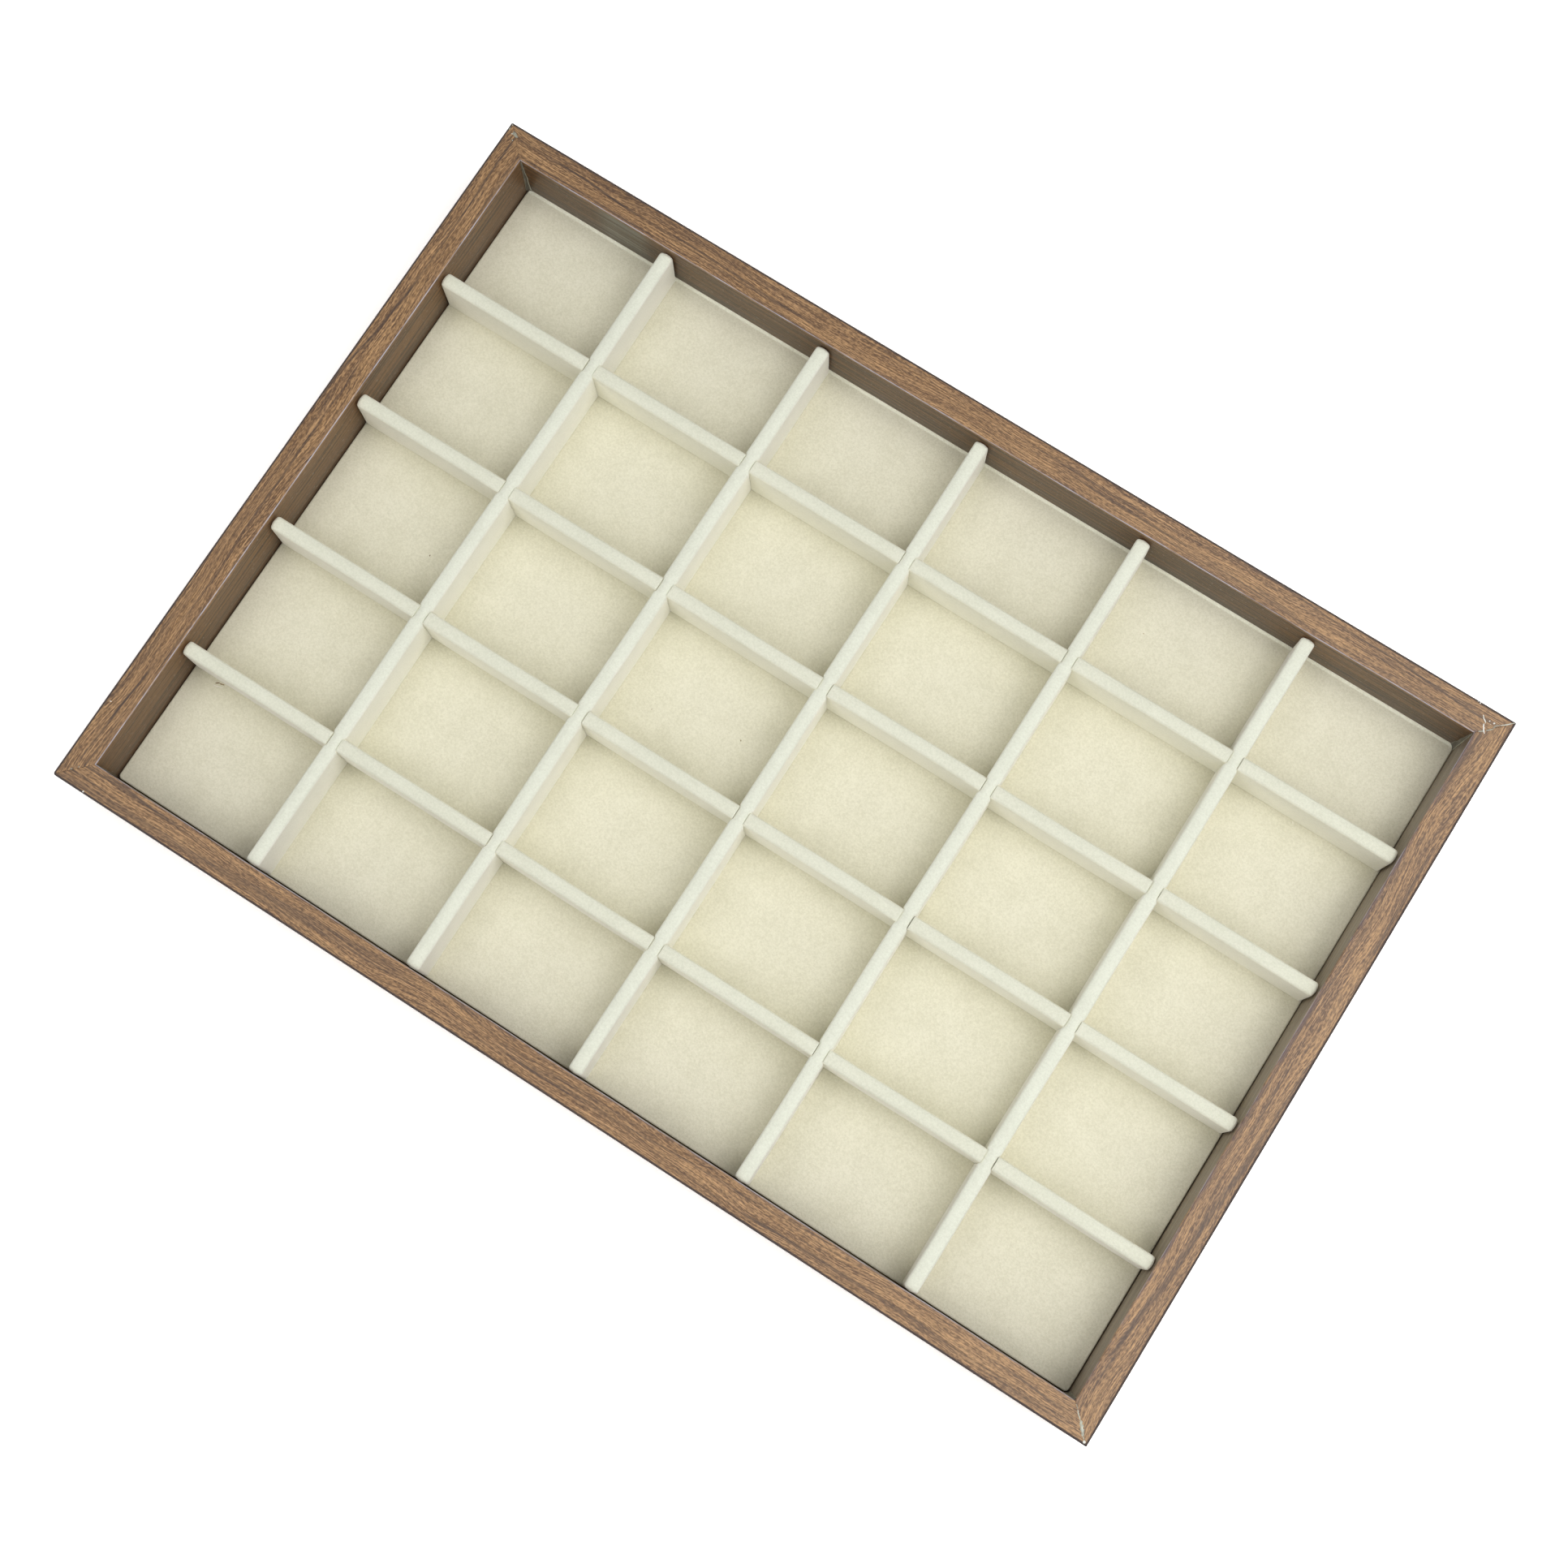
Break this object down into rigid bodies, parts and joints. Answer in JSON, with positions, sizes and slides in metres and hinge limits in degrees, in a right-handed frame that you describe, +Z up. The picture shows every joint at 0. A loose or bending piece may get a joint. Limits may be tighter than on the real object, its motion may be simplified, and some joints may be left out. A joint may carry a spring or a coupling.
{
  "type": "jewelry tray",
  "caption": "Shallow rectangular tray with mitred wood-look rails, a padded cloth floor and a lift-out cloth-covered divider grid that forms small square compartments.",
  "frame": {"origin": "middle of the underside, on the surface that the tray rests on", "axes": "+X along the long side to the right, +Y from the front rail to the back rail, +Z up out of the compartments"},
  "size_m": [0.35, 0.24, 0.03],
  "materials": {
    "fibreboard": "cut fibreboard",
    "wood_grain_film": "satin brown wood-grain film",
    "nail_steel": "plain",
    "set_glue": "clear set glue",
    "hardboard": "smooth hardboard",
    "felt": "dark brown felt",
    "greyboard": "grey card",
    "pad_foam": "open foam",
    "pad_cloth": "cream suede cloth",
    "divider_cloth": "cream suede cloth"
  },
  "bodies": {
    "tray": {"front_rail_core": "fibreboard", "back_rail_core": "fibreboard", "left_rail_core": "fibreboard", "right_rail_core": "fibreboard", "front_rail_wrap": "wood_grain_film", "back_rail_wrap": "wood_grain_film", "left_rail_wrap": "wood_grain_film", "right_rail_wrap": "wood_grain_film", "corner_v_nails": "nail_steel", "corner_glue_beads": "set_glue", "base_board": "hardboard", "underside_felt": "felt", "pad_board": "greyboard", "pad_foam": "pad_foam", "pad_cover": "pad_cloth"},
    "divider_grid": {"long_divider_1_core": "greyboard", "long_divider_1_cover": "divider_cloth", "long_divider_2_core": "greyboard", "long_divider_2_cover": "divider_cloth", "long_divider_3_core": "greyboard", "long_divider_3_cover": "divider_cloth", "long_divider_4_core": "greyboard", "long_divider_4_cover": "divider_cloth"},
    "short_divider_1": {"short_divider_1_core": "greyboard", "short_divider_1_cover": "divider_cloth"},
    "short_divider_2": {"short_divider_2_core": "greyboard", "short_divider_2_cover": "divider_cloth"},
    "short_divider_3": {"short_divider_3_core": "greyboard", "short_divider_3_cover": "divider_cloth"},
    "short_divider_4": {"short_divider_4_core": "greyboard", "short_divider_4_cover": "divider_cloth"},
    "short_divider_5": {"short_divider_5_core": "greyboard", "short_divider_5_cover": "divider_cloth"}
  },
  "joints": [
    {"name": "divider_grid_lift", "type": "slide", "parent": "tray", "child": "divider_grid", "axis": [0, 0, 1], "range_m": [0, 0.04]},
    {"name": "short_divider_1_lift", "type": "slide", "parent": "divider_grid", "child": "short_divider_1", "axis": [0, 0, 1], "range_m": [0, 0.03]},
    {"name": "short_divider_2_lift", "type": "slide", "parent": "divider_grid", "child": "short_divider_2", "axis": [0, 0, 1], "range_m": [0, 0.03]},
    {"name": "short_divider_3_lift", "type": "slide", "parent": "divider_grid", "child": "short_divider_3", "axis": [0, 0, 1], "range_m": [0, 0.03]},
    {"name": "short_divider_4_lift", "type": "slide", "parent": "divider_grid", "child": "short_divider_4", "axis": [0, 0, 1], "range_m": [0, 0.03]},
    {"name": "short_divider_5_lift", "type": "slide", "parent": "divider_grid", "child": "short_divider_5", "axis": [0, 0, 1], "range_m": [0, 0.03]}
  ]
}
